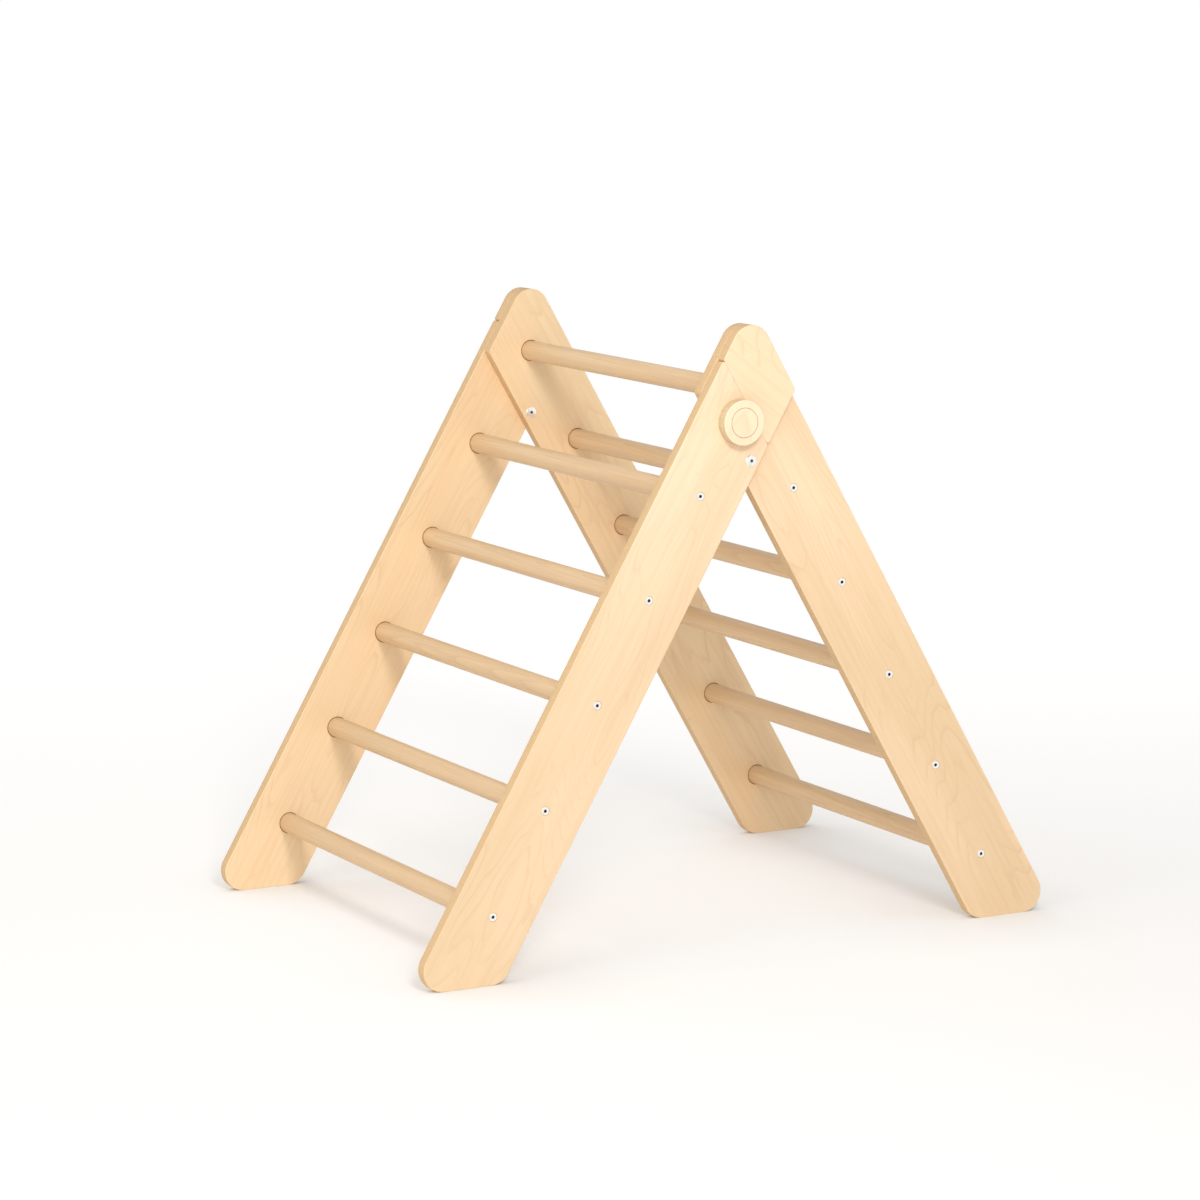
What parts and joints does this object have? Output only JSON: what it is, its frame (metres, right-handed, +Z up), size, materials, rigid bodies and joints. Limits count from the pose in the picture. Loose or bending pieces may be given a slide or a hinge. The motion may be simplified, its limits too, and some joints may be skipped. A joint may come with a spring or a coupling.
{
  "type": "folding climbing triangle",
  "caption": "Free-standing wooden A-frame for a child to climb: two ladders of round rungs that fold together on a pivot in their side panels and are clamped open by round wooden knobs.",
  "frame": {"origin": "on the floor, under the middle of the frame when it stands open", "axes": "+X from the front ladder's feet to the rear ladder's, +Y along the rungs to the far side, +Z up"},
  "size_m": [1.0078, 0.736, 0.881],
  "materials": {
    "birch_ply": "clear-oiled birch plywood, pale faces and brown layered edges",
    "beech": "clear-oiled beech, fine grain",
    "nickel": "bright nickel plate",
    "steel": "plain turned steel"
  },
  "bodies": {
    "rear_ladder": {"rear_panel_near": "birch_ply", "apex_cap_near": "birch_ply", "cap_dowels_near": "beech", "rear_rung_screws_near": "nickel", "pivot_sleeve_near": "nickel", "pivot_bolt_near": "nickel", "panel_insert_near": "steel", "rear_panel_far": "birch_ply", "apex_cap_far": "birch_ply", "cap_dowels_far": "beech", "rear_rung_screws_far": "nickel", "pivot_sleeve_far": "nickel", "pivot_bolt_far": "nickel", "panel_insert_far": "steel", "rear_rung_1": "beech", "rear_rung_2": "beech", "rear_rung_3": "beech", "rear_rung_4": "beech", "rear_rung_5": "beech", "rear_rung_6": "beech"},
    "front_ladder": {"front_panel_near": "birch_ply", "front_rung_screws_near": "nickel", "front_panel_far": "birch_ply", "front_rung_screws_far": "nickel", "front_rung_1": "beech", "front_rung_2": "beech", "front_rung_3": "beech", "front_rung_4": "beech", "front_rung_5": "beech"},
    "stud_near": {"knob_stud_near": "steel"},
    "knob_near": {"knob_disc_near": "birch_ply", "knob_bush_near": "steel"},
    "stud_far": {"knob_stud_far": "steel"},
    "knob_far": {"knob_disc_far": "birch_ply", "knob_bush_far": "steel"}
  },
  "joints": [
    {"name": "fold", "type": "hinge", "parent": "rear_ladder", "child": "front_ladder", "pos_m": [0, 0, 0.694], "axis": [0, -1, 0], "range_deg": [0, 60]},
    {"name": "knob_near_slide", "type": "slide", "parent": "rear_ladder", "child": "stud_near", "axis": [0, -1, 0], "range_m": [0, 0.00375]},
    {"name": "knob_near_turn", "type": "hinge", "parent": "stud_near", "child": "knob_near", "pos_m": [-0.02059, -0.359, 0.74933], "axis": [0, -1, 0], "range_deg": [0, 1080]},
    {"name": "knob_far_slide", "type": "slide", "parent": "rear_ladder", "child": "stud_far", "axis": [0, 1, 0], "range_m": [0, 0.00375]},
    {"name": "knob_far_turn", "type": "hinge", "parent": "stud_far", "child": "knob_far", "pos_m": [-0.02059, 0.359, 0.74933], "axis": [0, 1, 0], "range_deg": [0, 1080]}
  ],
  "couplings": [
    {"joint": "knob_near_turn", "follows": "knob_near_slide", "rad_per_m": 5026.5},
    {"joint": "knob_far_turn", "follows": "knob_far_slide", "rad_per_m": 5026.5}
  ]
}
